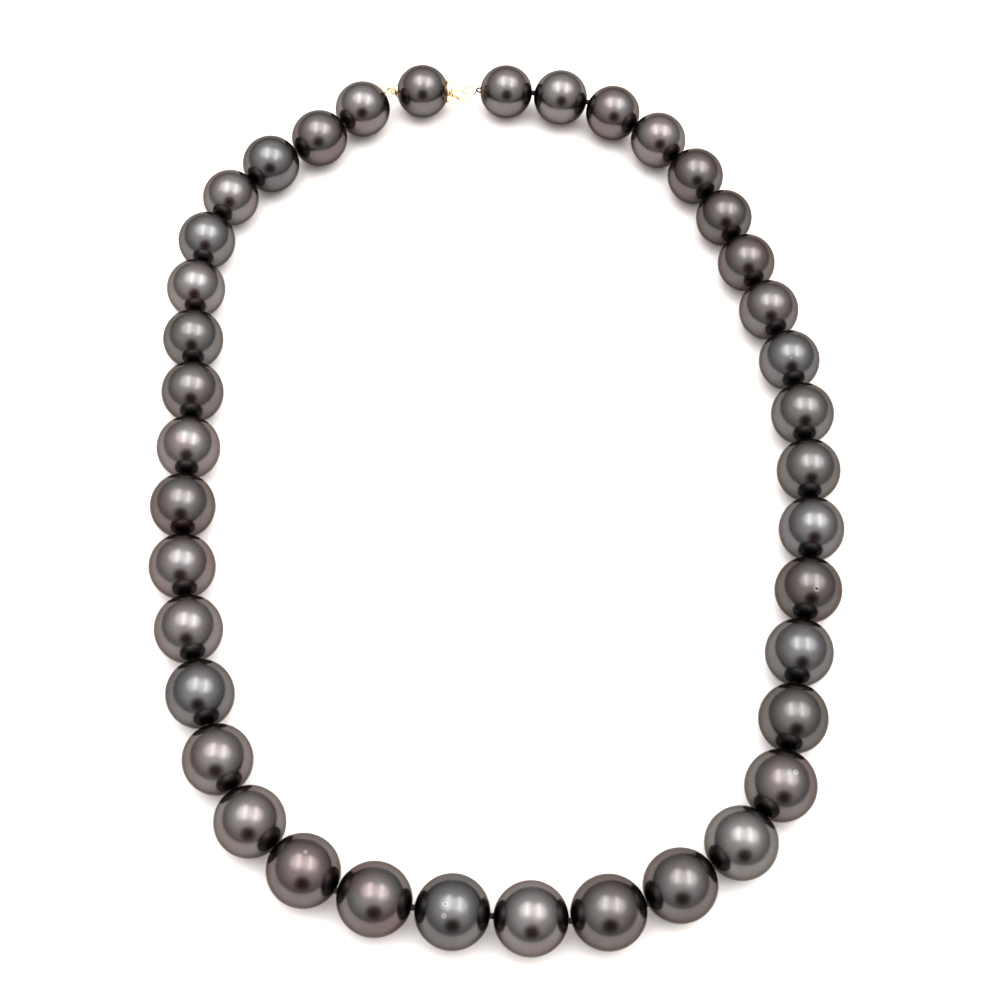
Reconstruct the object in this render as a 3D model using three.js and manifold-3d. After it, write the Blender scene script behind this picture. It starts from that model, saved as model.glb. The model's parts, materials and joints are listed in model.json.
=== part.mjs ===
// Graduated dark pearl strand, knotted on silk and closed by a push-in clasp set into a pearl.
// Millimetres, +Z up. It lies flat on a table, the clasp towards +Y and the largest pearls at the front.
import * as THREE from 'three';
import Module from 'manifold-3d';
import { mergeVertices } from 'three/addons/utils/BufferGeometryUtils.js';

const wasm = await Module();
wasm.setup();

// Pearls, numbered from the clasp pearl (1) down the left side and up the right side.
const COUNT = 39;
const DIAMETERS = [
  10.4, 10.9, 10.9, 11.0, 10.7, 10.8, 10.9, 11.0, 11.2, 11.3,
  11.4, 11.4, 11.6, 11.5, 11.6, 11.6, 11.8, 11.9, 11.9, 11.8,
  12.0, 11.9, 11.9, 11.9, 11.7, 11.6, 11.6, 11.5, 11.4, 11.4,
  11.2, 11.2, 10.9, 10.8, 10.9, 10.9, 10.8, 10.8, 10.5,
];
const ROUND_SIDES = 14;
const ARC_STEPS = 9;
const BORE_R = 0.66;

// Silk thread, with a knot between neighbours.
const THREAD_R = 0.34;
const THREAD_SIDES = 6;
const KNOT_GAP = 0.45;
const KNOT_STEPS = [
  [-0.5, 0.34],
  [-0.24, 0.58],
  [0.24, 0.58],
  [0.5, 0.34],
];
const LOOP_R = 0.2;

// Clasp, measured along its own axis from the middle of the clasp pearl (u) and sideways (v).
const HOUSING_R = 1.95;
const HOUSING_FROM = -2.3;
const HOUSING_TO = 4.65;
const SLOT_V = 1.35;
const SLOT_Z = 0.85;
const COLLAR_R = 2.2;
const COLLAR_FROM = 4.98;
const COLLAR_TO = 5.9;
const CAP_R = 1.3;
const EYE_U = -6.25;
const EYE_R = 0.85;
const EYE_WIRE = 0.25;
const RING_R = 1.05;
const RING_WIRE = 0.22;
const RING_TURN = THREE.MathUtils.degToRad(145);
const RING_TO_PEARL = 2.0;
const TONGUE_RING_U = 9.5;
const TONGUE_V = 0.5;
const TONGUE_RING_R = 1.45;
const TONGUE_HOLE_R = 0.65;
const TONGUE_TO_PEARL = 2.12;

// The line that the strand lies along, from the clasp's loose ring down the left side and back up the right.
const LAY = [
  [-23, 83.5],
  [-27, 77.5],
  [-35, 70],
  [-44.5, 63.5],
  [-51.5, 56],
  [-55, 46],
  [-56, 35],
  [-55.5, 23.5],
  [-54, 11.5],
  [-53.5, 0],
  [-53.5, -12],
  [-52.5, -23.5],
  [-50, -35.5],
  [-47, -47],
  [-43, -58.5],
  [-37.5, -69],
  [-28.5, -76.5],
  [-17.5, -81],
  [-5.5, -82],
  [7, -83],
  [19, -82.5],
  [30, -78],
  [40, -71],
  [48, -62.5],
  [50.5, -51],
  [51.5, -38.5],
  [54.5, -26.5],
  [56, -14.5],
  [56, -2.5],
  [56, 9.5],
  [54.5, 21],
  [51, 32.5],
  [47, 43.5],
  [43.5, 54.5],
  [38.5, 64],
  [31.5, 72.5],
  [23, 79.5],
  [12, 83],
  [1, 84],
  [-7, 84],
];

// Body colours, as they come in one strand: neutral, rose, deep rose, steel, green grey and darkest.
const TINTS = {
  n: '#6b6561',
  r: '#645a59',
  R: '#5f5150',
  s: '#5b5d60',
  g: '#575853',
  d: '#4a4442',
};
const ORDER = 'nrRsrsrgnrRRnsrnRRsrnngrgsdsggsrRdRrRnn';

const GOLD = { color: '#d9b36c', roughness: 0.22, metalness: 1 };
const SILK = { color: '#17120f', roughness: 0.85, metalness: 0 };

const group = new THREE.Group();
group.name = 'pearl_necklace';

function add(name, geometry, look) {
  const mesh = new THREE.Mesh(geometry, new THREE.MeshStandardMaterial(look));
  mesh.name = name;
  group.add(mesh);
}

function solid(geometry) {
  const bare = new THREE.BufferGeometry();
  bare.setAttribute('position', geometry.getAttribute('position').clone());
  if (geometry.index) bare.setIndex(geometry.index.clone());
  const merged = mergeVertices(bare, 1e-5);
  const vertProperties = new Float32Array(merged.getAttribute('position').array);
  const triVerts = new Uint32Array(merged.index.array);
  return new wasm.Manifold(new wasm.Mesh({ numProp: 3, vertProperties, triVerts }));
}

function geometryOf(manifold) {
  const mesh = manifold.getMesh();
  const geometry = new THREE.BufferGeometry();
  geometry.setAttribute('position', new THREE.BufferAttribute(mesh.vertProperties, 3));
  geometry.setIndex(new THREE.BufferAttribute(mesh.triVerts, 1));
  return geometry;
}

function diameter(i) {
  return DIAMETERS[i - 1];
}

function radius(i) {
  return diameter(i) / 2;
}

// The clasp's fixed places, in its own u, v plane.
const ringCentre = new THREE.Vector2(
  EYE_U + RING_R * Math.cos(RING_TURN),
  RING_R * Math.sin(RING_TURN),
);
const tongueCentre = new THREE.Vector2(TONGUE_RING_U, TONGUE_V);
const claspSpan = ringCentre.distanceTo(tongueCentre);

// Lays the strand: a joint at each knot, one pearl's length further along the lay line.
function layStrand(scale) {
  const points = LAY.map(([x, y]) => new THREE.Vector3(x * scale, y * scale, 0));
  const line = new THREE.CatmullRomCurve3(points, true, 'centripetal');
  const joints = [points[0].clone()];
  let t = 0;
  for (let i = 2; i <= COUNT; i += 1) {
    let length = diameter(i) + KNOT_GAP;
    if (i === 2) length = RING_TO_PEARL + diameter(i) + KNOT_GAP / 2;
    if (i === COUNT) length = TONGUE_TO_PEARL + diameter(i) + KNOT_GAP / 2;
    const from = joints[joints.length - 1];
    let near = t;
    let far = t + 0.06;
    for (let n = 0; n < 40; n += 1) {
      const middle = (near + far) / 2;
      const reached = line.getPoint(middle).distanceTo(from) > length;
      if (reached) far = middle;
      else near = middle;
    }
    t = (near + far) / 2;
    joints.push(line.getPoint(t));
  }
  return joints;
}

// The lay line is drawn in or let out until the clasp just spans the two ends.
let small = 0.94;
let large = 1.06;
for (let n = 0; n < 40; n += 1) {
  const middle = (small + large) / 2;
  const joints = layStrand(middle);
  const open = joints[0].distanceTo(joints[joints.length - 1]);
  if (open > claspSpan) large = middle;
  else small = middle;
}
const joints = layStrand((small + large) / 2);

// The clasp's own frame: u along it, v sideways, z up.
const left = joints[0];
const right = joints[joints.length - 1];
const chord = Math.atan2(right.y - left.y, right.x - left.x);
const lean = Math.atan2(tongueCentre.y - ringCentre.y, tongueCentre.x - ringCentre.x);
const turn = chord - lean;
const along = new THREE.Vector3(Math.cos(turn), Math.sin(turn), 0);
const aside = new THREE.Vector3(-Math.sin(turn), Math.cos(turn), 0);
const claspPlace = left.clone();
claspPlace.addScaledVector(along, -ringCentre.x);
claspPlace.addScaledVector(aside, -ringCentre.y);
claspPlace.z = radius(1);
const claspFrame = new THREE.Matrix4().makeBasis(along, aside, new THREE.Vector3(0, 0, 1));
claspFrame.setPosition(claspPlace);

function claspPoint(u, v) {
  return new THREE.Vector3(u, v, 0).applyMatrix4(claspFrame);
}

// A frame at a place, its y axis along a level direction and its z axis up.
function frameAlong(place, direction) {
  const y = direction.clone().setZ(0).normalize();
  const z = new THREE.Vector3(0, 0, 1);
  const x = new THREE.Vector3().crossVectors(y, z);
  return new THREE.Matrix4().makeBasis(x, y, z).setPosition(place);
}

// Half outline of a pearl, from its lower drill mouth to its upper one.
function pearlArc(r, lowBore, highBore) {
  const half = Math.PI / ARC_STEPS / 2;
  const full = r / Math.cos(half);
  const wide = 1 / Math.cos(Math.PI / ROUND_SIDES);
  const from = Math.asin(lowBore / wide / full);
  const to = Math.PI - Math.asin(highBore / wide / full);
  const angles = [from];
  for (let k = 1; k < ARC_STEPS; k += 1) {
    const even = Math.PI / 2 + (2 * k - ARC_STEPS) * half;
    if (even > from + half && even < to - half) angles.push(even);
  }
  angles.push(to);
  return angles.map(
    (angle) => new THREE.Vector2(full * wide * Math.sin(angle), -full * Math.cos(angle)),
  );
}

function turned(outline) {
  const closed = [...outline, outline[0].clone()];
  return new THREE.LatheGeometry(closed, ROUND_SIDES, Math.PI / ROUND_SIDES, 2 * Math.PI);
}

function pearlLook(i) {
  return { color: TINTS[ORDER[i - 1]], roughness: 0.16, metalness: 0.35 };
}

// Strand pearls, each drilled straight through along its link.
const bores = [];
for (let i = 2; i <= COUNT; i += 1) {
  const a = joints[i - 2];
  const b = joints[i - 1];
  const way = b.clone().sub(a).normalize();
  const r = radius(i);
  let before = KNOT_GAP / 2;
  if (i === 2) before = RING_TO_PEARL;
  const place = a.clone().addScaledVector(way, before + r);
  place.z = r;
  bores.push({ place, way, r });
  const geometry = turned(pearlArc(r, BORE_R, BORE_R));
  geometry.applyMatrix4(frameAlong(place, way));
  add(`pearl_${String(i).padStart(2, '0')}`, geometry, pearlLook(i));
}

// The clasp pearl: a wide bore from the right for the housing, a narrow one from the left for the rod.
const housingBore = HOUSING_R + 0.3;
const rodBore = 0.75;
const claspArc = pearlArc(radius(1), rodBore, housingBore);
claspArc.push(new THREE.Vector2(housingBore, HOUSING_FROM - 0.3));
claspArc.push(new THREE.Vector2(rodBore, HOUSING_FROM - 0.3));
const claspPearl = turned(claspArc);
claspPearl.applyMatrix4(frameAlong(claspPlace, along));
add('clasp_pearl', claspPearl, pearlLook(1));

function lathed(points, sides) {
  const outline = points.map(([r, u]) => new THREE.Vector2(r, u));
  return new THREE.LatheGeometry(outline, sides);
}

function inClasp(geometry) {
  const quarter = new THREE.Matrix4().makeRotationZ(-Math.PI / 2);
  return geometry.applyMatrix4(quarter);
}

function box(u0, u1, v0, v1, z0, z1) {
  const geometry = new THREE.BoxGeometry(u1 - u0, v1 - v0, z1 - z0);
  return geometry.translate((u0 + u1) / 2, (v0 + v1) / 2, (z0 + z1) / 2);
}

function placed(manifold) {
  return geometryOf(manifold).applyMatrix4(claspFrame);
}

// Housing: a closed-ended round tube inside the pearl, with a flat slot for the tongue.
const housingOutline = [
  [0, HOUSING_FROM],
  [HOUSING_R, HOUSING_FROM],
  [HOUSING_R, HOUSING_TO],
  [0, HOUSING_TO],
];
const housingBody = solid(inClasp(lathed(housingOutline, 20)));
const housingSlot = solid(box(HOUSING_FROM + 0.4, 8, -SLOT_V, SLOT_V, -SLOT_Z, SLOT_Z));
add('clasp_housing', placed(housingBody.subtract(housingSlot)), GOLD);

// Collar: a domed rim that frames the slot outside the pearl.
const collarOutline = [
  [0, COLLAR_FROM],
  [COLLAR_R, COLLAR_FROM],
  [COLLAR_R, COLLAR_TO - 0.45],
  [COLLAR_R - 0.12, COLLAR_TO - 0.15],
  [COLLAR_R - 0.4, COLLAR_TO],
  [0, COLLAR_TO],
];
const collarBody = solid(inClasp(lathed(collarOutline, 20)));
add('clasp_collar', placed(collarBody.subtract(housingSlot)), GOLD);

// End cap: a shallow dish on the pearl's left, its rod inside the pearl and a fixed eye outside.
const capOutline = [
  [0, EYE_U + 0.45],
  [CAP_R - 0.35, EYE_U + 0.5],
  [CAP_R, EYE_U + 0.85],
  [CAP_R, EYE_U + 0.98],
  [0.9, EYE_U + 0.82],
  [0.4, EYE_U + 0.78],
  [0.4, HOUSING_FROM - 0.35],
  [0, HOUSING_FROM - 0.35],
];
const capBody = solid(inClasp(lathed(capOutline, 20)));
const eye = new THREE.TorusGeometry(EYE_R, EYE_WIRE, 8, 20);
eye.rotateX(Math.PI / 2);
eye.translate(EYE_U, 0, 0);
add('clasp_end_cap', placed(capBody.add(solid(eye))), GOLD);

// Loose ring through the eye, lying level.
const ring = new THREE.TorusGeometry(RING_R, RING_WIRE, 8, 24);
ring.translate(ringCentre.x, ringCentre.y, 0);
add('clasp_jump_ring', placed(solid(ring)), GOLD);

// Tongue: a flat blade in the slot, a stouter neck and a pierced round end.
const blade = solid(box(-0.7, 5.7, TONGUE_V - 0.3, TONGUE_V + 0.27, -0.52, 0.52));
const tip = new THREE.CylinderGeometry(0.52, 0.52, 0.57, 16);
tip.translate(-0.7, TONGUE_V - 0.015, 0);
const neck = solid(box(5.6, 8.4, TONGUE_V - 0.5, TONGUE_V + 0.5, -0.42, 0.42));
const roundEnd = new THREE.CylinderGeometry(TONGUE_RING_R, TONGUE_RING_R, 0.6, 24);
roundEnd.rotateX(Math.PI / 2);
roundEnd.translate(TONGUE_RING_U, TONGUE_V, 0);
const hole = new THREE.CylinderGeometry(TONGUE_HOLE_R, TONGUE_HOLE_R, 2, 20);
hole.rotateX(Math.PI / 2);
hole.translate(TONGUE_RING_U, TONGUE_V, 0);
const tongue = blade.add(solid(tip)).add(neck).add(solid(roundEnd)).subtract(solid(hole));
add('clasp_tongue', placed(tongue), GOLD);

// Spring leaf: sprung away from the blade, its outer end bent out as a thumb tab.
const leafOutline = [
  [-1.15, -0.1],
  [5.9, -0.68],
  [6.75, -1.0],
  [7.45, -1.68],
  [9.25, -2.1],
  [9.2, -2.42],
  [7.3, -2.02],
  [6.55, -1.3],
  [5.85, -1.02],
  [-1.15, -0.45],
];
const leafShape = new THREE.Shape(leafOutline.map(([u, v]) => new THREE.Vector2(u, v)));
const leaf = new THREE.ExtrudeGeometry(leafShape, { depth: 1, bevelEnabled: false });
leaf.translate(0, 0, -0.5);
const tabOutline = [
  [7.45, -1.68],
  [9.25, -2.1],
  [9.2, -2.42],
  [7.3, -2.02],
];
const tabShape = new THREE.Shape(tabOutline.map(([u, v]) => new THREE.Vector2(u, v)));
const tab = new THREE.ExtrudeGeometry(tabShape, { depth: 1.7, bevelEnabled: false });
tab.translate(0, 0, -0.85);
add('clasp_spring_leaf', placed(solid(leaf).add(solid(tab))), GOLD);

// Silk thread: one length through every bore, a knot in every gap and a small loop at each end.
// A ring of points round the thread, square to the way it runs.
function threadRing(place, way, r) {
  const up = new THREE.Vector3(0, 0, 1);
  const side = new THREE.Vector3().crossVectors(way, up).normalize();
  const top = new THREE.Vector3().crossVectors(side, way).normalize();
  const points = [];
  for (let k = 0; k < THREAD_SIDES; k += 1) {
    const angle = (2 * Math.PI * (k + 0.5)) / THREAD_SIDES;
    const point = place.clone().addScaledVector(side, r * Math.cos(angle));
    points.push(point.addScaledVector(top, r * Math.sin(angle)));
  }
  return points;
}

// A closed tube through a row of rings, with a flat end at each end of the row.
function tubeThrough(rings) {
  const corners = rings.flat().flatMap((point) => [point.x, point.y, point.z]);
  const faces = [];
  const n = THREAD_SIDES;
  for (let i = 0; i + 1 < rings.length; i += 1) {
    for (let k = 0; k < n; k += 1) {
      const a = i * n + k;
      const b = i * n + ((k + 1) % n);
      faces.push(a, b + n, b, a, a + n, b + n);
    }
  }
  const end = (rings.length - 1) * n;
  for (let k = 1; k + 1 < n; k += 1) {
    faces.push(0, k, k + 1, end, end + k + 1, end + k);
  }
  const geometry = new THREE.BufferGeometry();
  geometry.setAttribute('position', new THREE.Float32BufferAttribute(corners, 3));
  geometry.setIndex(faces);
  return solid(geometry);
}

// An upright loop round a ring's wire, from the ring towards the pearl beside it.
function loopAt(centre, pearl, wireR, loopR) {
  const way = pearl.clone().sub(centre).setZ(0).normalize();
  const torus = new THREE.TorusGeometry(loopR, LOOP_R, 6, 18);
  torus.rotateY(Math.PI / 2);
  const place = centre.clone().addScaledVector(way, wireR);
  torus.applyMatrix4(frameAlong(place, way));
  const start = place.clone().addScaledVector(way, loopR);
  return { torus: solid(torus), start };
}

const ends = [
  [claspPoint(ringCentre.x, ringCentre.y), bores[0], RING_R, 0.62],
  [claspPoint(tongueCentre.x, tongueCentre.y), bores[COUNT - 2], 1.05, 0.78],
];
const loops = [];
const starts = [];
for (const [centre, bore, wireR, loopR] of ends) {
  const loop = loopAt(centre, bore.place, wireR, loopR);
  loops.push(loop.torus);
  starts.push(loop.start);
}
const knots = [];
for (let i = 2; i < COUNT; i += 1) {
  const knot = joints[i - 1].clone();
  knot.z = (bores[i - 2].place.z + bores[i - 1].place.z) / 2;
  knots.push(knot);
}
const route = [starts[0], ...knots, starts[1]];
const rings = [];
for (let i = 0; i < route.length; i += 1) {
  const before = route[Math.max(i - 1, 0)];
  const after = route[Math.min(i + 1, route.length - 1)];
  const way = after.clone().sub(before).normalize();
  const tied = i > 0 && i + 1 < route.length;
  const steps = tied ? KNOT_STEPS : [[0, THREAD_R]];
  for (const [distance, r] of steps) {
    rings.push(threadRing(route[i].clone().addScaledVector(way, distance), way, r));
  }
}
const thread = wasm.Manifold.union([tubeThrough(rings), ...loops]);
add('silk_thread', geometryOf(thread), SILK);

// The middle of the necklace's footprint becomes the origin.
const size = new THREE.Box3().setFromObject(group);
const middle = size.getCenter(new THREE.Vector3());
for (const mesh of group.children) {
  mesh.geometry.translate(-middle.x, -middle.y, -size.min.z);
}

export default group;
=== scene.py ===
"""A graduated strand of dark round pearls, knotted on silk, with a push-in gold clasp set into a pearl."""

import json
import math

import bmesh
import bpy
from mathutils import Matrix, Vector


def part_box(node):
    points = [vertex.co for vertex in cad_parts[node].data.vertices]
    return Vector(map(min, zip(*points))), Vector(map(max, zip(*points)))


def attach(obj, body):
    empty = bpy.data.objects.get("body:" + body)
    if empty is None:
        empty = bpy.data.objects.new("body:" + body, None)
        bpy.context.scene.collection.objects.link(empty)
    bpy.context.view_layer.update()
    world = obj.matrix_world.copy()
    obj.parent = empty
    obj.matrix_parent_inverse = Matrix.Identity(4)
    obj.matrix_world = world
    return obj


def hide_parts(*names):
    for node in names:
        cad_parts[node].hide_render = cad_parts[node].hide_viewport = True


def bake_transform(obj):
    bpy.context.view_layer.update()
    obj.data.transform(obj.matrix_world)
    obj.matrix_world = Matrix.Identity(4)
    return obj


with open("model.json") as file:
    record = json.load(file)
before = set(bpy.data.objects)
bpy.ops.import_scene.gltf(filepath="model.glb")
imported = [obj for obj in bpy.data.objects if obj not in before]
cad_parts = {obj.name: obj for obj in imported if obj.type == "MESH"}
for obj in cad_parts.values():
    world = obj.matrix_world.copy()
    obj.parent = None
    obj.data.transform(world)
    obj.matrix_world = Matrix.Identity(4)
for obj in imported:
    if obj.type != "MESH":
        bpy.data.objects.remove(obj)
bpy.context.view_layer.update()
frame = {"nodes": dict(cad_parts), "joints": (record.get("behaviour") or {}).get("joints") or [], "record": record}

MM = 0.001
UP = Vector((0, 0, 1))
FIRST, FRONT, LAST = 1, 20, 39
SLOTS = {part["node"]: part["material_slot"] for part in frame["record"]["subparts"]}
JOINTS = {joint["name"]: Vector(joint["pos_m"]) for joint in frame["joints"]}


# Camera

CAMERA_PLACE = (-0.0046, -0.1566, 0.2755)
CAMERA_YAW = math.radians(2.29)
CAMERA_DOWN = math.radians(61.42)
CAMERA_ROLL = math.radians(4.02)
CAMERA_LENS = 62.78


def place_camera():
    level = math.cos(CAMERA_DOWN)
    ahead = Vector((math.sin(CAMERA_YAW) * level, math.cos(CAMERA_YAW) * level, -math.sin(CAMERA_DOWN)))
    right = ahead.cross(UP).normalized()
    top = right.cross(ahead)
    rolled_right = right * math.cos(CAMERA_ROLL) + top * math.sin(CAMERA_ROLL)
    rolled_top = top * math.cos(CAMERA_ROLL) - right * math.sin(CAMERA_ROLL)
    data = bpy.data.cameras.new("camera")
    data.lens = CAMERA_LENS
    data.sensor_width = 36
    data.clip_start = 0.01
    camera = bpy.data.objects.new("camera", data)
    camera.matrix_world = Matrix(
        (
            (rolled_right.x, rolled_top.x, -ahead.x, CAMERA_PLACE[0]),
            (rolled_right.y, rolled_top.y, -ahead.y, CAMERA_PLACE[1]),
            (rolled_right.z, rolled_top.z, -ahead.z, CAMERA_PLACE[2]),
            (0, 0, 0, 1),
        )
    )
    bpy.context.collection.objects.link(camera)
    bpy.context.scene.camera = camera


# Finishes


class Mark:
    """A value or a colour on its way through a finish, with plain arithmetic for values."""

    def __init__(self, finish, socket):
        self.finish = finish
        self.socket = socket

    def maths(self, operation, first, second):
        return self.finish.node("ShaderNodeMath", {"operation": operation}, {0: first, 1: second})

    def __add__(self, other):
        return self.maths("ADD", self, other)

    def __sub__(self, other):
        return self.maths("SUBTRACT", self, other)

    def __mul__(self, other):
        return self.maths("MULTIPLY", self, other)

    def __radd__(self, other):
        return self.maths("ADD", other, self)

    def __rsub__(self, other):
        return self.maths("SUBTRACT", other, self)

    def __rmul__(self, other):
        return self.maths("MULTIPLY", other, self)


class Finish:
    """A procedural finish: its nodes, and what feeds the shader's own sockets."""

    def __init__(self, owner):
        owner.use_nodes = True
        self.owner = owner
        self.tree = owner.node_tree
        self.shader = self.tree.nodes.get("Principled BSDF") or self.tree.nodes.get("Background")

    def node(self, kind, settings, inputs, output=0):
        made = self.tree.nodes.new(kind)
        for name, value in settings.items():
            setattr(made, name, value)
        for name, value in inputs.items():
            self.feed(made.inputs[name], value)
        return Mark(self, made.outputs[output])

    def feed(self, socket, value):
        if isinstance(value, Mark):
            self.tree.links.new(value.socket, socket)
        else:
            socket.default_value = value

    def give(self, **sockets):
        for name, value in sockets.items():
            self.feed(self.shader.inputs[name.replace("_", " ")], value)

    def place(self, scale=(1, 1, 1)):
        here = self.node("ShaderNodeTexCoord", {}, {}, "Object")
        return self.node("ShaderNodeMapping", {}, {"Vector": here, "Scale": scale})

    def clouds(self, place, size, detail=2.0):
        """Soft noise whose patches are about size metres across."""
        inputs = {"Vector": place, "Scale": 1 / size, "Detail": detail, "Roughness": 0.55}
        return self.node("ShaderNodeTexNoise", {}, inputs, "Fac")

    def eased(self, value, low, high):
        """0 below low, 1 above high, and a soft step between them."""
        inputs = {"Value": value, "From Min": low, "From Max": high}
        return self.node("ShaderNodeMapRange", {"interpolation_type": "SMOOTHSTEP"}, inputs)

    def mixed(self, share, first, second):
        return self.node("ShaderNodeMix", {"data_type": "RGBA"}, {0: share, 6: first, 7: second}, 2)

    def relief(self, height, depth, strength=1.0):
        inputs = {"Height": height, "Distance": depth, "Strength": strength}
        return self.node("ShaderNodeBump", {}, inputs)


def shade(colour, strength=1.0):
    return tuple(part * strength for part in colour) + (1.0,)


# Overtone and lightness of each pearl's body, from the clasp pearl round by the left.
OVERTONES = {
    "n": (1.06, 0.93, 0.91),
    "r": (1.08, 0.92, 0.91),
    "R": (1.11, 0.89, 0.88),
    "s": (0.97, 0.96, 0.98),
    "g": (1.00, 0.97, 0.91),
    "d": (1.08, 0.92, 0.87),
}
STRAND_OVERTONES = "nrRsrsrgnrRRnsrnRRsrnngrgsdsggsrRdRrRnn"
STRAND_LIGHTNESS = "685586955947857855584485352645553238687"
NACRE_LEAST = 0.080
NACRE_STEP = 0.0072


# Growth marks: which way each lies from the pearl's middle, its radius in mm,
# and whether it is a ringed pit.
GROWTH_MARKS = {
    5: [((-0.30, -0.35, 0.89), 0.22, True)],
    8: [((-0.28, 0.10, 0.95), 0.25, True)],
    17: [((0.10, 0.22, 0.97), 0.45, False)],
    19: [((-0.20, -0.07, 0.98), 0.38, True), ((-0.22, -0.36, 0.91), 0.55, False)],
    24: [((0.25, 0.05, 0.97), 0.60, False)],
    27: [((0.05, -0.41, 0.91), 0.62, True), ((0.52, -0.20, 0.83), 0.20, False)],
    31: [((-0.12, -0.45, 0.88), 0.28, True)],
}


def grown_marks(finish, number, place, body, light):
    """The body colour with a pearl's own pale spots and ringed pits, painted shade darkening each pit's centre,
    and how deep the pits go.
    """
    centre, r = middle(f"pearl_{number:02d}")
    depth = 0.0
    for way, radius, ringed in GROWTH_MARKS[number]:
        spot = {0: place, 1: centre + Vector(way).normalized() * r}
        away = finish.node("ShaderNodeVectorMath", {"operation": "DISTANCE"}, spot, "Value")
        patch = 1 - finish.eased(away, 0.62 * radius * MM, radius * MM)
        body = finish.mixed(patch * 0.55, body, shade((1.0, 0.97, 0.93), light * 2.6))
        if ringed:
            pit = 1 - finish.eased(away, 0.30 * radius * MM, 0.66 * radius * MM)
            # Painted shade: the ringed pit's centre is darkened where shade falls in the pit, on top of being sunk
            # by the relief.
            body = finish.mixed(pit * 0.85, body, shade((1.0, 0.9, 0.85), light * 0.35))
            depth = depth + pit
    return body, depth


def nacre(number):
    """Grown nacre: cloudy body colour, fine mottling, faint ripples and a rare pinprick."""
    overtone = OVERTONES[STRAND_OVERTONES[number - 1]]
    light = NACRE_LEAST + NACRE_STEP * int(STRAND_LIGHTNESS[number - 1])
    finish = Finish(bpy.data.materials.new(f"nacre_{number:02d}"))
    place = finish.place()
    clouds = finish.clouds(place, 0.0042, 2)
    mottle = finish.clouds(place, 0.0007, 3)
    ripple = finish.clouds(finish.place((1, 1, 3.5)), 0.0011, 2)
    cell = {"Vector": place, "Scale": 1 / 0.0016}
    spot = finish.node("ShaderNodeTexVoronoi", {}, cell, "Distance")
    lot = finish.node("ShaderNodeTexVoronoi", {}, cell, "Color")
    lot = finish.node("ShaderNodeSeparateColor", {}, {0: lot}, 0)
    pinprick = (1 - finish.eased(spot, 0.03, 0.10)) * finish.eased(lot, 0.90, 0.92)
    cool = shade((0.99, 0.965, 0.965), light * 1.08)
    warm = shade(overtone, light * 0.94)
    body = finish.mixed(finish.eased(clouds, 0.30, 0.70), warm, cool)
    body = finish.mixed(finish.eased(mottle, 0.45, 0.85) * 0.35, body, shade(overtone, light * 1.30))
    body = finish.mixed(pinprick * 0.6, body, shade((1, 0.95, 0.9), light * 1.7))
    height = ripple * 0.7 + mottle * 0.3 - pinprick * 3.0
    if number in GROWTH_MARKS:
        body, depth = grown_marks(finish, number, place, body, light)
        height = height - depth * 6.0
    finish.give(
        Base_Color=body,
        Metallic=1.0,
        Roughness=0.17 + clouds * 0.06 + mottle * 0.03 + pinprick * 0.2,
        IOR=1.6,
        Specular_Tint=shade((0.38, 0.35, 0.32)),
        Coat_Weight=0.16,
        Coat_Roughness=0.12,
        Coat_IOR=1.5,
        Normal=finish.relief(height, 0.000004),
    )
    return finish.owner


def polished_gold():
    """Yellow gold, polished and lightly handled: soft tarnish, hairlines and a slightly uneven face."""
    finish = Finish(bpy.data.materials.new("polished_gold"))
    place = finish.place()
    film = finish.clouds(place, 0.0011, 3)
    hairs = finish.clouds(finish.place((1, 9, 5)), 0.0006, 4)
    swell = finish.clouds(place, 0.0007, 1)
    bright = shade((0.98, 0.82, 0.54))
    dull = shade((0.82, 0.60, 0.32))
    colour = finish.mixed(finish.eased(film, 0.40, 0.75) * 0.6, bright, dull)
    finish.give(
        Base_Color=colour,
        Metallic=1.0,
        Roughness=0.16 + film * 0.10 + finish.eased(hairs, 0.5, 0.7) * 0.10,
        Normal=finish.relief(hairs * 0.35 + swell, 0.000010),
    )
    return finish.owner


def twisted_silk():
    """Dark bead silk: twisted plies whose colour holds a painted highlight on each crest and painted shade in the
    grooves, with fuzz between them.
    """
    finish = Finish(bpy.data.materials.new("twisted_silk"))
    place = finish.place((1, 1, 1))
    settings = {"wave_type": "BANDS", "bands_direction": "DIAGONAL"}
    inputs = {"Vector": place, "Scale": 1700.0, "Distortion": 3.0, "Detail": 2.0}
    plies = finish.node("ShaderNodeTexWave", settings, inputs, "Fac")
    fuzz = finish.clouds(place, 0.00012, 2)
    # Painted light: this colour follows the ply relief, near black in the grooves (painted shade) and lighter on
    # the crests (painted highlight).
    colour = finish.mixed(plies, shade((0.006, 0.004, 0.004)), shade((0.045, 0.032, 0.026)))
    colour = finish.mixed(finish.eased(fuzz, 0.6, 0.8) * 0.5, colour, shade((0.09, 0.07, 0.06)))
    finish.give(
        Base_Color=colour,
        Roughness=0.55 + fuzz * 0.25,
        Sheen_Weight=0.25,
        Sheen_Roughness=0.4,
        Normal=finish.relief(plies + fuzz * 0.5, 0.000035),
    )
    return finish.owner


def pale_floor():
    finish = Finish(bpy.data.materials.new("pale_floor"))
    place = finish.place()
    grain = finish.clouds(place, 0.0006, 3)
    wash = finish.clouds(place, 0.09, 2)
    darker = shade((0.84, 0.81, 0.795))
    lighter = shade((0.86, 0.83, 0.815))
    colour = finish.mixed(finish.eased(wash, 0.3, 0.7), darker, lighter)
    finish.give(Base_Color=colour, Roughness=0.62 + grain * 0.15, Normal=finish.relief(grain, 0.00001))
    return finish.owner


# Studio

TENT_TOP = (1.90, 1.86, 1.84)
TENT_EDGE = (0.62, 0.61, 0.60)
DARK_SIDE = (0.140, 0.070, 0.065)
DARK_TOWARDS = Vector((0.03, -math.cos(math.radians(34)), math.sin(math.radians(34))))


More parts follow.
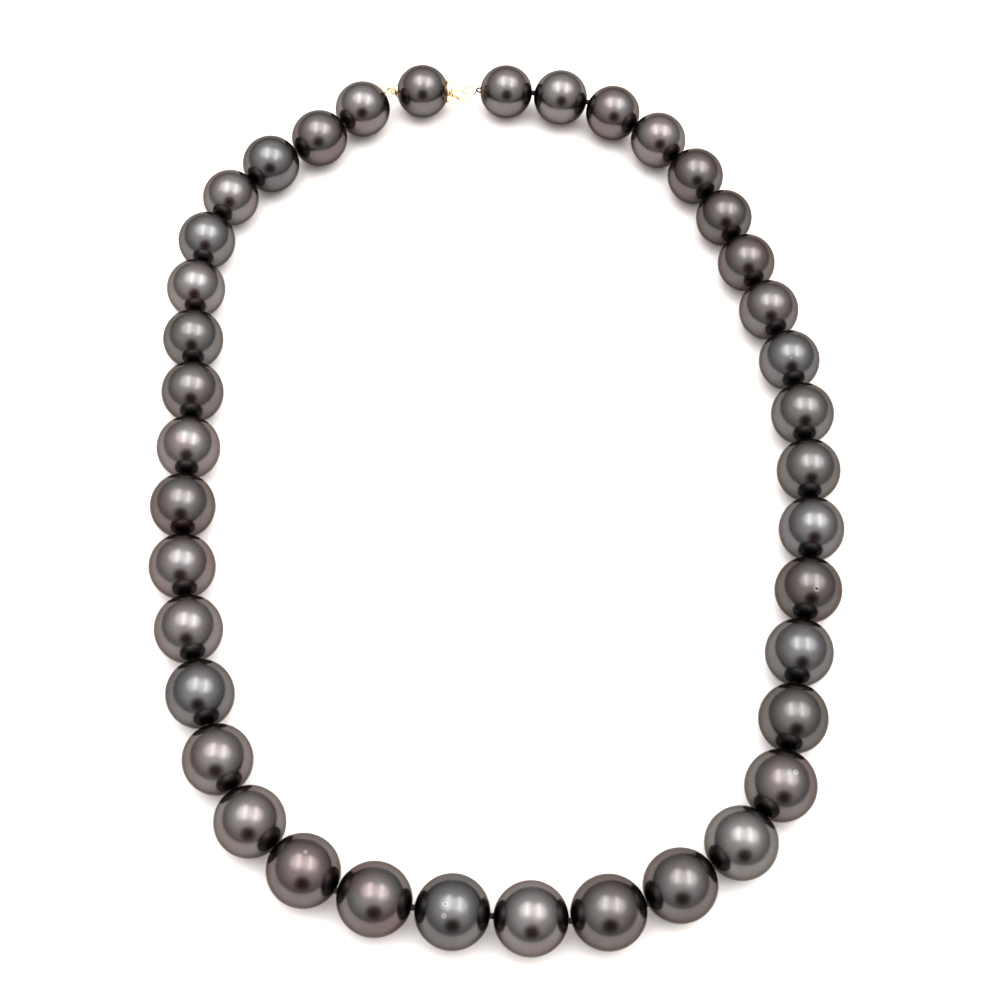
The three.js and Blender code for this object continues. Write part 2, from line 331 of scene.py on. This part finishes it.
SOFTBOX_SIZE = (0.16, 0.56)
SOFTBOX_GLOW = 2.0
SOFTBOXES = {"left": (-0.17, 0.12, 0.70), "right": (0.28, 0.08, 0.70)}
PANEL_GLOW = (4.2, 4.2, 4.22)


def hang_tent():
    """A pale tent: bright overhead and behind the softboxes, dark at its opening on the near side."""
    world = bpy.data.worlds.new("tent")
    bpy.context.scene.world = world
    tent = Finish(world)
    way = tent.node("ShaderNodeTexCoord", {}, {}, "Generated")
    height = tent.node("ShaderNodeSeparateXYZ", {}, {"Vector": way}, "Z")
    towards = {0: way, 1: DARK_TOWARDS}
    near = tent.node("ShaderNodeVectorMath", {"operation": "DOT_PRODUCT"}, towards, "Value")
    air = tent.mixed(tent.eased(height, 0.05, 1.0), shade(TENT_EDGE), shade(TENT_TOP))
    for hung in SOFTBOXES.values():
        facing = {0: way, 1: Vector(hung).normalized()}
        panel_near = tent.node("ShaderNodeVectorMath", {"operation": "DOT_PRODUCT"}, facing, "Value")
        air = tent.mixed(tent.eased(panel_near, 0.86, 1.0), air, shade(PANEL_GLOW))
    air = tent.mixed(tent.eased(near, 0.86, 0.995), air, shade(DARK_SIDE))
    looking = tent.node("ShaderNodeLightPath", {}, {}, "Is Camera Ray")
    tent.give(Color=tent.mixed(looking, air, shade((0.96, 0.96, 0.96))))


def hang_softboxes():
    for name, place in SOFTBOXES.items():
        lamp = bpy.data.lights.new(f"softbox_{name}", "AREA")
        lamp.shape = "RECTANGLE"
        lamp.size, lamp.size_y = SOFTBOX_SIZE
        lamp.energy = SOFTBOX_GLOW * math.pi * SOFTBOX_SIZE[0] * SOFTBOX_SIZE[1]
        lamp.color = (1.0, 0.985, 0.975)
        holder = bpy.data.objects.new(f"softbox_{name}", lamp)
        holder.location = place
        holder.visible_camera = False
        bpy.context.collection.objects.link(holder)


def lay_floor():
    bm = bmesh.new()
    bmesh.ops.create_grid(bm, x_segments=4, y_segments=4, size=1.6)
    floor = made("floor", bm, Matrix.Identity(4), pale_floor())


# Making pieces


def made(name, bm, place, material):
    """A finished piece from a shape, moved to its place, with its faces shaded round."""
    bmesh.ops.transform(bm, matrix=place, verts=bm.verts)
    if place.determinant() < 0:
        bmesh.ops.reverse_faces(bm, faces=bm.faces)
    mesh = bpy.data.meshes.new(name)
    bm.to_mesh(mesh)
    bm.free()
    for face in mesh.polygons:
        face.use_smooth = True
    mesh.materials.append(material)
    piece = bpy.data.objects.new(name, mesh)
    bpy.context.collection.objects.link(piece)
    return piece


def settle(piece, body, slot, *nodes):
    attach(piece, body)
    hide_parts(*nodes)


def subdivided(piece, levels):
    rounding = piece.modifiers.new("rounding", "SUBSURF")
    rounding.levels = levels
    rounding.render_levels = levels


def frame_on(place, way):
    """A millimetre frame at a place: y along a level way and z up."""
    along = Vector((way.x, way.y, 0)).normalized()
    across = along.cross(UP)
    turn = Matrix((across, along, UP)).transposed().to_4x4()
    return Matrix.Translation(place) @ turn @ Matrix.Scale(MM, 4)


def spun(outline, steps):
    """A closed body of revolution about y from an outline of (radius, y) points in millimetres."""
    bm = bmesh.new()
    verts = [bm.verts.new((radius, y, 0)) for radius, y in outline]
    edges = [bm.edges.new(pair) for pair in zip(verts, verts[1:])]
    edges.append(bm.edges.new((verts[-1], verts[0])))
    geom = verts + edges
    turn = {"cent": (0, 0, 0), "axis": (0, 1, 0), "angle": 2 * math.pi, "steps": steps}
    bmesh.ops.spin(bm, geom=geom, use_merge=True, use_duplicate=False, **turn)
    bmesh.ops.remove_doubles(bm, verts=bm.verts, dist=1e-4)
    bmesh.ops.recalc_face_normals(bm, faces=bm.faces)
    return bm


def absorb(bm, other, turn=Matrix.Identity(4)):
    """Another shape joins this one."""
    bmesh.ops.transform(other, matrix=turn, verts=other.verts)
    carried = bpy.data.meshes.new("carried")
    other.to_mesh(carried)
    other.free()
    bm.from_mesh(carried)
    bpy.data.meshes.remove(carried)


def welded(bm, grain):
    """One skin round shapes that pass through each other, with soft fillets where they meet."""
    mesh = bpy.data.meshes.new("welding")
    bm.to_mesh(mesh)
    bm.free()
    blank = bpy.data.objects.new("welding", mesh)
    bpy.context.collection.objects.link(blank)
    skin = blank.modifiers.new("skin", "REMESH")
    skin.mode = "VOXEL"
    skin.voxel_size = grain
    easing = blank.modifiers.new("easing", "SMOOTH")
    easing.factor = 0.5
    easing.iterations = 3
    whole = bpy.data.meshes.new_from_object(blank.evaluated_get(bpy.context.evaluated_depsgraph_get()))
    bpy.data.objects.remove(blank)
    joined = bmesh.new()
    joined.from_mesh(whole)
    bpy.data.meshes.remove(whole)
    return joined


# Pearls

PEARL_STEPS = 40
PEARL_ARC = 22
BORE = 0.46
LIP = 0.09
SMOOTHING_TAKES = 1.005
OUT_OF_ROUND = 0.004


def middle(node):
    low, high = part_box(node)
    return (low + high) / 2, (high.z - low.z) / 2


def knot_between(first, second):
    """The joint at the knot between two neighbouring strand pearls."""
    if FRONT in (first, second):
        return JOINTS["left_arm_opening" if min(first, second) < FRONT else "right_arm_opening"]
    return JOINTS[f"knot_{min(first, second):02d}_{max(first, second):02d}"]


def bore_way(number):
    """The level way of a pearl's bore, from the pearl before it towards the one after."""
    centre = middle(f"pearl_{number:02d}")[0]
    if number == LAST:
        way = centre - knot_between(number - 1, number)
    elif number == FIRST + 1:
        way = knot_between(number, number + 1) - centre
    else:
        way = knot_between(number, number + 1) - knot_between(number - 1, number)
    return Vector((way.x, way.y, 0)).normalized()


def drill_mouth(bore, y, inward):
    """The eased edge of a drilled bore, from inside the bore out to the pearl's face."""
    return [
        (bore, y + inward * LIP * 3),
        (bore, y + inward * LIP),
        (bore + LIP * 0.3, y + inward * LIP * 0.3),
    ]


def pearl_outline(r, low_bore, high_bore):
    """Half section of a pearl in (radius, y), from its lower drill mouth over its side to the upper one."""
    full = r * SMOOTHING_TAKES
    start = math.asin((low_bore + LIP) / full)
    end = math.pi - math.asin((high_bore + LIP) / full)
    points = []
    for k in range(PEARL_ARC + 1):
        angle = start + (end - start) * k / PEARL_ARC
        points.append((full * math.sin(angle), -full * math.cos(angle)))
    low_y, high_y = points[0][1], points[-1][1]
    lower = drill_mouth(low_bore, low_y, 1)
    upper = drill_mouth(high_bore, high_y, -1)
    return lower + points + upper[::-1]


def make_pearl(number):
    node = f"pearl_{number:02d}"
    centre, r = middle(node)
    r = r / MM
    bm = spun(pearl_outline(r, BORE, BORE), PEARL_STEPS)
    swell = OUT_OF_ROUND * math.sin(1.7 * number)
    scale = Matrix.Diagonal((1 + swell, 1 - swell, 1, 1))
    piece = made(f"nacre_{node}", bm, frame_on(centre, bore_way(number)) @ scale, nacre(number))
    subdivided(piece, 1)
    body = "front_pearl" if number == FRONT else node
    settle(piece, body, SLOTS[node], node)


# Silk

THREAD = 0.29
PLY = 0.17
KNOT_TURNS = 2.5
KNOT_COIL = 0.36
KNOT_LENGTH = 0.52
THREAD_REACH = 3.0


def cord_mesh(paths, sides=8):
    """One mesh of round threads through (points, radius) paths, in millimetres."""
    bm = bmesh.new()
    for points, radius in paths:
        data = bpy.data.curves.new("thread", "CURVE")
        data.dimensions = "3D"
        data.bevel_depth = radius
        data.bevel_resolution = (sides - 4) // 2
        data.use_fill_caps = True
        data.resolution_u = 3
        line = data.splines.new("NURBS")
        line.points.add(len(points) - 1)
        for point, place in zip(line.points, points):
            point.co = (*place, 1)
        line.order_u = 3
        line.use_endpoint_u = True
        holder = bpy.data.objects.new("thread", data)
        bpy.context.collection.objects.link(holder)
        laid = bpy.data.meshes.new_from_object(holder.evaluated_get(bpy.context.evaluated_depsgraph_get()))
        bm.from_mesh(laid)
        bpy.data.objects.remove(holder)
        bpy.data.meshes.remove(laid)
    bmesh.ops.remove_doubles(bm, verts=bm.verts, dist=1e-4)
    bmesh.ops.recalc_face_normals(bm, faces=bm.faces)
    return bm


def coil(turns, radius, length, start):
    """Points of a thread wound about y, its ends drawn in."""
    count = int(turns * 12)
    points = []
    for k in range(count + 1):
        share = k / count
        angle = start + 2 * math.pi * turns * share
        wide = radius * (0.55 + 0.45 * min(1, 5 * share, 5 * (1 - share)))
        points.append((wide * math.cos(angle), length * (share - 0.5), wide * math.sin(angle)))
    return points


def make_knot(before, after, silk):
    first, second = f"pearl_{before:02d}", f"pearl_{after:02d}"
    spot = knot_between(before, after)
    low, high = middle(first)[1], middle(second)[1]
    spot = Vector((spot.x, spot.y, (low + high) / 2))
    way_in, way_out = bore_way(before), bore_way(after)
    way = (way_in + way_out).normalized()
    place = frame_on(spot, way)
    back = place.inverted()
    inner = []
    for reach in (-THREAD_REACH, -1.2, 0, 1.2, THREAD_REACH):
        side = way_in if reach < 0 else way_out
        level = UP * ((low if reach < 0 else high) - spot.z) * (abs(reach) > 0)
        inner.append(tuple(back @ (spot + side * reach * MM + level)))
    wound = coil(KNOT_TURNS, KNOT_COIL, KNOT_LENGTH, before * 0.9)
    paths = [(inner, THREAD), (wound, PLY)]
    piece = made(f"silk_knot_{before:02d}_{after:02d}", cord_mesh(paths), place, silk)
    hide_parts("silk_thread")
    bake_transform(piece)


def make_end_loop(name, ring, number, wire, loop, gap, silk):
    """The doubled thread that ties an end pearl to its ring.

    Its measures run from the ring's middle, in millimetres.
    """
    centre, r = middle(f"pearl_{number:02d}")
    ring = Vector((ring.x, ring.y, r))
    way = Vector((centre.x - ring.x, centre.y - ring.y, 0)).normalized()
    upper = [
        (gap + 3, 0.13),
        (gap + 0.1, 0.14),
        (wire + loop * 0.8, loop * 0.45),
        (wire + loop * 0.35, loop * 0.95),
        (wire - loop * 0.45, loop * 0.92),
        (wire - loop, loop * 0.35),
    ]
    both = upper + [(along, -high) for along, high in reversed(upper)]
    line = [(0.0, along, high) for along, high in both]
    tie = [(x, y + gap - 0.12, z) for x, y, z in coil(2.0, 0.36, 0.34, 0.4)]
    place = frame_on(ring, way)
    piece = made(name, cord_mesh([(line, 0.15), (tie, 0.14)]), place, silk)
    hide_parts("silk_thread")
    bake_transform(piece)


# Clasp, measured along its own axis (y) and sideways (x), from the middle of its pearl

EYE_ALONG = -6.25
ROD_END = -2.65
HOUSING_BORE = 2.05
COLLAR = 2.2
COLLAR_FROM = 4.68
COLLAR_LONG = 1.22
COLLAR_SIDES = 48
SLOT_HALF_WIDE = 1.35
SLOT_HALF_HIGH = 0.85
NEAR = 0.01


def clasp_place():
    eye = JOINTS["clasp_eye_swing"]
    collar = middle("clasp_collar")[0]
    along = Vector((collar.x - eye.x, collar.y - eye.y, 0)).normalized()
    centre = Vector((eye.x, eye.y, middle("clasp_pearl")[1])) - along * EYE_ALONG * MM
    return frame_on(centre, along) @ Matrix.Diagonal((-1, 1, 1, 1))


def plate(points, half_height, edge):
    """A flat plate from an (x, y) outline, half_height above and below the middle, edges eased."""
    bm = bmesh.new()
    face = bm.faces.new([bm.verts.new((x, y, -half_height)) for x, y in points])
    raised = bmesh.ops.extrude_face_region(bm, geom=[face])["geom"]
    verts = [part for part in raised if isinstance(part, bmesh.types.BMVert)]
    bmesh.ops.translate(bm, vec=(0, 0, 2 * half_height), verts=verts)
    bmesh.ops.recalc_face_normals(bm, faces=bm.faces)
    bevel = {"offset": edge, "segments": 2, "profile": 0.5, "affect": "EDGES", "material": -1}
    bmesh.ops.bevel(bm, geom=bm.edges[:], clamp_overlap=True, **bevel)
    return bm


def wire_ring(major, wire, steps, turn=2 * math.pi):
    """A ring of round wire lying level; less than a full turn leaves a cut with closed ends."""
    bm = bmesh.new()
    circle = bmesh.ops.create_circle(bm, cap_ends=turn < 2 * math.pi, segments=14, radius=wire)["verts"]
    stand = Matrix.Translation((major, 0, 0)) @ Matrix.Rotation(math.pi / 2, 4, "X")
    bmesh.ops.transform(bm, matrix=stand, verts=circle)
    geom = bm.verts[:] + bm.edges[:] + bm.faces[:]
    round_up = {"cent": (0, 0, 0), "axis": (0, 0, 1), "angle": turn, "steps": steps}
    bmesh.ops.spin(bm, geom=geom, use_merge=turn >= 2 * math.pi, use_duplicate=False, **round_up)
    bmesh.ops.remove_doubles(bm, verts=bm.verts, dist=1e-4)
    bmesh.ops.recalc_face_normals(bm, faces=bm.faces)
    return bm


def make_clasp_pearl(place):
    r = middle("clasp_pearl")[1]
    outline = pearl_outline(r / MM, BORE, HOUSING_BORE)
    bm = spun(outline, PEARL_STEPS)
    piece = made("nacre_clasp_pearl", bm, place, nacre(FIRST))
    subdivided(piece, 1)
    settle(piece, "clasp_pearl", SLOTS["clasp_pearl"], "clasp_pearl")


def at_mouth(spot):
    """Whether a place on the collar is on the outer edge of its slot."""
    beside = abs(spot.x) < SLOT_HALF_WIDE + NEAR and abs(spot.y) < SLOT_HALF_HIGH + NEAR
    return beside and spot.z > 1


def make_collar(place, gold):
    """A turned rim with a flat slot through it."""
    bm = bmesh.new()
    bmesh.ops.create_circle(bm, cap_ends=False, segments=COLLAR_SIDES, radius=COLLAR)
    inner = bmesh.ops.create_circle(bm, cap_ends=False, segments=COLLAR_SIDES, radius=1)["verts"]
    for vert in inner:
        angle = math.atan2(vert.co.y, vert.co.x)
        across, high = math.cos(angle), math.sin(angle)
        widest = max(abs(across), abs(high))
        vert.co = (SLOT_HALF_WIDE * across / widest, SLOT_HALF_HIGH * high / widest, 0)
    bmesh.ops.bridge_loops(bm, edges=bm.edges[:])
    raised = bmesh.ops.extrude_face_region(bm, geom=bm.faces[:])["geom"]
    verts = [part for part in raised if isinstance(part, bmesh.types.BMVert)]
    bmesh.ops.translate(bm, vec=(0, 0, COLLAR_LONG), verts=verts)
    bmesh.ops.recalc_face_normals(bm, faces=bm.faces)
    front = [e for e in bm.edges if all(v.co.z > COLLAR_LONG - NEAR for v in e.verts)]
    rim = [e for e in front if all(math.hypot(v.co.x, v.co.y) > COLLAR - NEAR for v in e.verts)]
    bevel = {"segments": 4, "profile": 0.5, "affect": "EDGES", "material": -1}
    bmesh.ops.bevel(bm, geom=rim, offset=0.42, clamp_overlap=True, **bevel)
    mouth = [e for e in bm.edges if all(at_mouth(v.co) for v in e.verts)]
    bmesh.ops.bevel(bm, geom=mouth, offset=0.08, clamp_overlap=True, **bevel)
    stand = Matrix.Translation((0, COLLAR_FROM, 0)) @ Matrix.Rotation(-math.pi / 2, 4, "X")
    piece = made("gold_collar", bm, place @ stand, gold)
    settle(piece, "clasp_pearl", "gold", "clasp_collar")


def make_end_cap(place, gold):
    """A shallow dish against the pearl with a fixed eye, and the rod behind it."""
    y = EYE_ALONG
    dish = [(0.001, y + 0.42), (0.5, y + 0.44), (0.95, y + 0.56), (1.25, y + 0.82), (1.38, y + 1.12)]
    dish += [(1.38, y + 1.24), (1.28, y + 1.26), (0.9, y + 1.15), (0.4, y + 1.1)]
    dish += [(0.38, ROD_END), (0.001, ROD_END)]
    bm = spun(dish, 40)
    eye = wire_ring(0.85, 0.25, 40)
    absorb(bm, eye, Matrix.Translation((0, y, 0)) @ Matrix.Rotation(math.pi / 2, 4, "Y"))
    piece = made("gold_end_cap", welded(bm, 0.055), place, gold)
    settle(piece, "clasp_pearl", "gold", "clasp_end_cap")


def make_jump_ring(gold):
    centre = middle("clasp_jump_ring")[0]
    bm = wire_ring(1.05, 0.22, 56, math.radians(357))
    level = Matrix.Translation(centre) @ Matrix.Scale(MM, 4) @ Matrix.Rotation(2.4, 4, "Z")
    piece = made("gold_jump_ring", bm, level, gold)
    settle(piece, "jump_ring", "gold", "clasp_jump_ring")


def make_tongue(place, gold):
    """Blade, neck and pierced round end, forged in one."""
    blade = [(0.2, -1.0), (0.77, -1.0), (0.77, 5.7), (0.2, 5.7)]
    neck = [(0.0, 5.4), (1.0, 5.4), (0.95, 8.6), (0.05, 8.6)]
    bm = plate(blade, 0.52, 0.08)
    absorb(bm, plate(neck, 0.42, 0.1))
    ring = [(0.65, -0.16), (0.74, -0.27), (0.9, -0.31), (1.25, -0.31), (1.4, -0.22), (1.46, 0.0)]
    ring += [(1.4, 0.22), (1.25, 0.31), (0.9, 0.31), (0.74, 0.27), (0.65, 0.16)]
    absorb(bm, spun(ring, 48), Matrix.Translation((0.5, 9.5, 0)) @ Matrix.Rotation(math.pi / 2, 4, "X"))
    piece = made("gold_tongue", welded(bm, 0.06), place, gold)
    settle(piece, "tongue", "gold", "clasp_tongue")


LEAF = [
    (-0.1, -1.15),
    (-0.68, 5.9),
    (-1.0, 6.75),
    (-1.68, 7.45),
    (-2.1, 9.25),
    (-2.42, 9.2),
    (-2.02, 7.3),
    (-1.3, 6.55),
    (-1.02, 5.85),
    (-0.45, -1.15),
]
TAB = LEAF[3:7]


def make_spring_leaf(place, gold):
    bm = plate(LEAF, 0.5, 0.06)
    absorb(bm, plate(TAB, 0.85, 0.1))
    piece = made("gold_spring_leaf", welded(bm, 0.055), place, gold)
    settle(piece, "spring_leaf", "gold", "clasp_spring_leaf")


# Assembly

place_camera()
hang_tent()
hang_softboxes()
lay_floor()

gold = polished_gold()
silk = twisted_silk()
clasp = clasp_place()
make_clasp_pearl(clasp)
make_collar(clasp, gold)
make_end_cap(clasp, gold)
make_jump_ring(gold)
make_tongue(clasp, gold)
make_spring_leaf(clasp, gold)
frame["nodes"]["clasp_housing"].material_slots[0].material = gold
for number in range(FIRST + 1, LAST + 1):
    make_pearl(number)
for number in range(FIRST + 1, LAST):
    make_knot(number, number + 1, silk)
make_end_loop("silk_loop_left", JOINTS["jump_ring_swing"], FIRST + 1, 1.05, 0.5, 2.0, silk)
make_end_loop("silk_loop_right", JOINTS["tongue_swing"], LAST, 1.05, 0.66, 2.12, silk)

bpy.context.scene.view_settings.view_transform = "Standard"
bpy.context.scene.view_settings.look = "Medium High Contrast"
